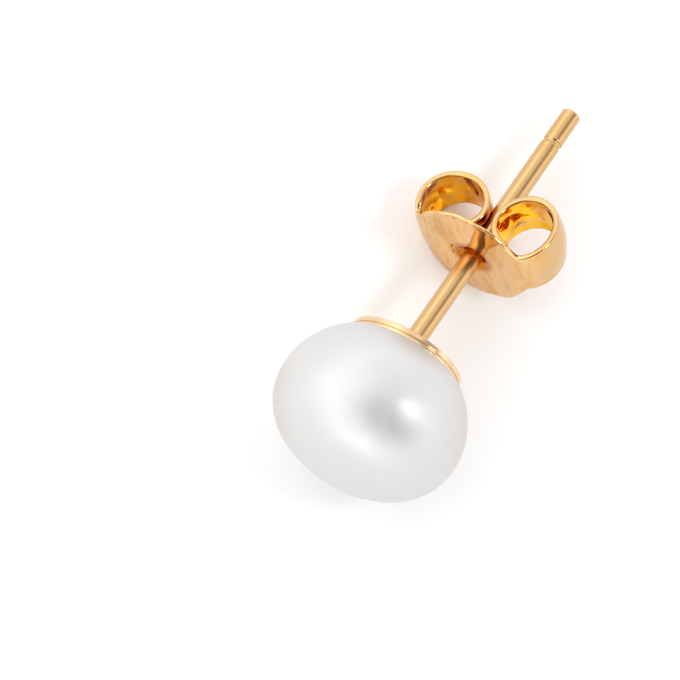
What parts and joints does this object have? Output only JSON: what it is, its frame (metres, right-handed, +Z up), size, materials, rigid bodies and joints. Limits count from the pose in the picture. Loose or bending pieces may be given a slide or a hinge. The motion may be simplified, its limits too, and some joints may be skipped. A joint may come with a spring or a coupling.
{
  "type": "pearl stud earring with butterfly back",
  "caption": "Stud earring lying on its side: a white button pearl in a shallow gold cup on a straight notched post, held by a scrolled sheet-metal butterfly back.",
  "frame": {"origin": "on the surface that the stud lies on, under the middle of its bounding box", "axes": "+Z up from the surface; the post runs along +Y, dipping 8 degrees towards its tip; the pearl is at -Y"},
  "size_m": [0.007, 0.0166, 0.007],
  "materials": {
    "pearl": "white nacre with a soft satin lustre",
    "post_gold": "polished gold plate",
    "back_gold": "gold plate, finely brushed on the face plate"
  },
  "bodies": {
    "stud": {"pearl": "pearl", "cup_post": "post_gold"},
    "back": {"butterfly_back": "back_gold"}
  },
  "joints": [
    {"name": "back_slide", "type": "slide", "parent": "stud", "child": "back", "axis": [0, 0.9902, -0.14], "range_m": [-0.0036, 0.004]}
  ]
}
